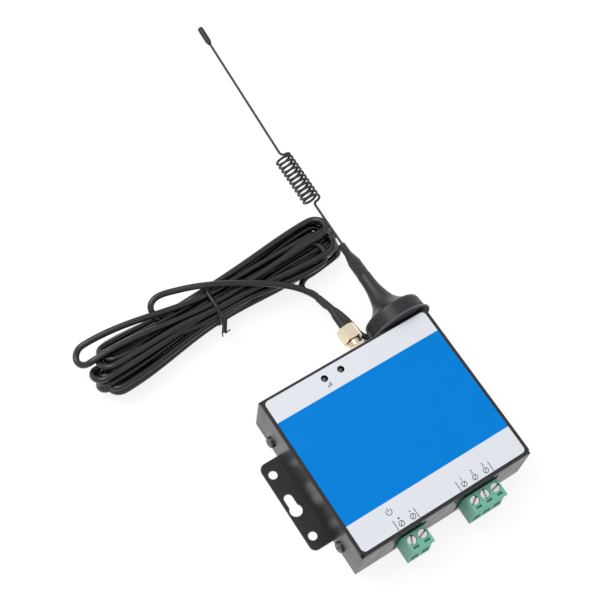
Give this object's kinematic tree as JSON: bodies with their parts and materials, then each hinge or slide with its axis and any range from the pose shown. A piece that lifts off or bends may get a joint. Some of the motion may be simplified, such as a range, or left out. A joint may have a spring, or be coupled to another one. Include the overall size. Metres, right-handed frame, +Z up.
{
  "type": "gsm relay module with antenna",
  "caption": "Flat metal case with mounting ears, pluggable screw terminals in front and a magnetic whip antenna at the back, its lead in a tied hank.",
  "frame": {"origin": "Centre of the case's bottom face, on the plane that it stands on or is screwed to.", "axes": "+X right along the terminal edge, +Y from the terminals to the antenna, +Z up out of the label."},
  "size_m": [0.1426, 0.2555, 0.0296],
  "materials": {
    "case_paint": "black powder paint, semi-gloss, on sheet steel",
    "label_print": "printed film, blue band on white",
    "screw_black": "blackened steel",
    "board_laminate": "green solder mask on glass laminate",
    "standoff_brass": "turned brass",
    "plain_steel": "bright plated steel",
    "card_plastic": "white card stock",
    "relay_plastic": "black moulding",
    "capacitor_sleeve": "shrunk sleeve on an aluminium can",
    "lamp_clear": "clear epoxy",
    "black_plastic": "black moulding",
    "header_green": "dark green moulding",
    "terminal_green": "green moulding",
    "contact_tin": "tinned bronze",
    "screw_zinc": "bright zinc plate on steel",
    "gold_plate": "pale gold plate on brass",
    "shrink_sleeve": "shrunk sleeve, matt",
    "cable_jacket": "smooth black jacket",
    "tie_plastic": "flat plastic ribbon with a wire core",
    "pad_rubber": "thin pad",
    "base_rubber": "matt black",
    "magnet_steel": "plated magnet",
    "bell_plastic": "black moulding, fine turned texture",
    "whip_paint": "black coating on spring steel"
  },
  "bodies": {
    "case": {"base_tray": "case_paint", "top_cover": "case_paint", "label_sheet": "label_print", "side_screws": "screw_black", "circuit_board": "board_laminate", "board_standoffs": "standoff_brass", "board_screws": "plain_steel", "radio_module": "plain_steel", "sim_socket": "plain_steel", "relay_case": "relay_plastic", "buffer_capacitor": "capacitor_sleeve", "signal_led": "lamp_clear", "relay_led": "lamp_clear", "led_spacers": "black_plastic", "sma_jack": "gold_plate", "sma_washer": "gold_plate", "sma_lock_nut": "gold_plate", "sma_plug_body": "gold_plate", "plug_strain_sleeve": "shrink_sleeve", "cable_to_plug": "cable_jacket", "cable_hank": "cable_jacket", "cable_to_antenna": "cable_jacket", "hank_tie": "tie_plastic", "power_header": "header_green", "power_header_pins": "contact_tin", "relay_header": "header_green", "relay_header_pins": "contact_tin"},
    "coupling_nut": {"coupling_nut": "gold_plate"},
    "sim_card": {"sim_card": "card_plastic"},
    "antenna": {"antenna_base_pad": "pad_rubber", "antenna_skirt": "base_rubber", "antenna_magnet": "magnet_steel", "antenna_bell": "bell_plastic", "antenna_lead_boot": "base_rubber", "antenna_whip_socket": "gold_plate", "antenna_neck_sleeve": "shrink_sleeve", "antenna_whip": "whip_paint", "antenna_tip_cap": "black_plastic"},
    "power_plug": {"power_plug_housing": "terminal_green", "power_plug_contacts": "contact_tin"},
    "power_screw_1": {"power_screw_1": "screw_zinc"},
    "power_clamp_1": {"power_clamp_1": "screw_zinc"},
    "power_screw_2": {"power_screw_2": "screw_zinc"},
    "power_clamp_2": {"power_clamp_2": "screw_zinc"},
    "relay_plug": {"relay_plug_housing": "terminal_green", "relay_plug_contacts": "contact_tin"},
    "relay_screw_1": {"relay_screw_1": "screw_zinc"},
    "relay_clamp_1": {"relay_clamp_1": "screw_zinc"},
    "relay_screw_2": {"relay_screw_2": "screw_zinc"},
    "relay_clamp_2": {"relay_clamp_2": "screw_zinc"},
    "relay_screw_3": {"relay_screw_3": "screw_zinc"},
    "relay_clamp_3": {"relay_clamp_3": "screw_zinc"}
  },
  "joints": [
    {"name": "coupling_nut_spin", "type": "hinge", "parent": "case", "child": "coupling_nut", "pos_m": [0.011, 0.0465, 0.0125], "axis": [0, 1, 0], "continuous": true},
    {"name": "sim_card_slide", "type": "slide", "parent": "case", "child": "sim_card", "axis": [0, 1, 0], "range_m": [0, 0.008]},
    {"name": "antenna_lift", "type": "slide", "parent": "case", "child": "antenna", "axis": [0, 0, 1], "range_m": [0, 0.027]},
    {"name": "power_plug_slide", "type": "slide", "parent": "case", "child": "power_plug", "axis": [0, -1, 0], "range_m": [0, 0.012]},
    {"name": "power_screw_1_turn", "type": "hinge", "parent": "power_plug", "child": "power_screw_1", "pos_m": [-0.01894, -0.0403, 0.0185], "axis": [0, 0, -1], "range_deg": [0, 1800]},
    {"name": "power_clamp_1_rise", "type": "slide", "parent": "power_plug", "child": "power_clamp_1", "axis": [0, 0, 1], "range_m": [0, 0.0025]},
    {"name": "power_screw_2_turn", "type": "hinge", "parent": "power_plug", "child": "power_screw_2", "pos_m": [-0.01386, -0.0403, 0.0185], "axis": [0, 0, -1], "range_deg": [0, 1800]},
    {"name": "power_clamp_2_rise", "type": "slide", "parent": "power_plug", "child": "power_clamp_2", "axis": [0, 0, 1], "range_m": [0, 0.0025]},
    {"name": "relay_plug_slide", "type": "slide", "parent": "case", "child": "relay_plug", "axis": [0, -1, 0], "range_m": [0, 0.012]},
    {"name": "relay_screw_1_turn", "type": "hinge", "parent": "relay_plug", "child": "relay_screw_1", "pos_m": [0.01132, -0.0403, 0.0185], "axis": [0, 0, -1], "range_deg": [0, 1800]},
    {"name": "relay_clamp_1_rise", "type": "slide", "parent": "relay_plug", "child": "relay_clamp_1", "axis": [0, 0, 1], "range_m": [0, 0.0025]},
    {"name": "relay_screw_2_turn", "type": "hinge", "parent": "relay_plug", "child": "relay_screw_2", "pos_m": [0.0164, -0.0403, 0.0185], "axis": [0, 0, -1], "range_deg": [0, 1800]},
    {"name": "relay_clamp_2_rise", "type": "slide", "parent": "relay_plug", "child": "relay_clamp_2", "axis": [0, 0, 1], "range_m": [0, 0.0025]},
    {"name": "relay_screw_3_turn", "type": "hinge", "parent": "relay_plug", "child": "relay_screw_3", "pos_m": [0.02148, -0.0403, 0.0185], "axis": [0, 0, -1], "range_deg": [0, 1800]},
    {"name": "relay_clamp_3_rise", "type": "slide", "parent": "relay_plug", "child": "relay_clamp_3", "axis": [0, 0, 1], "range_m": [0, 0.0025]}
  ],
  "couplings": [
    {"joint": "power_screw_1_turn", "follows": "power_clamp_1_rise", "rad_per_m": 12566},
    {"joint": "power_screw_2_turn", "follows": "power_clamp_2_rise", "rad_per_m": 12566},
    {"joint": "relay_screw_1_turn", "follows": "relay_clamp_1_rise", "rad_per_m": 12566},
    {"joint": "relay_screw_2_turn", "follows": "relay_clamp_2_rise", "rad_per_m": 12566},
    {"joint": "relay_screw_3_turn", "follows": "relay_clamp_3_rise", "rad_per_m": 12566}
  ]
}
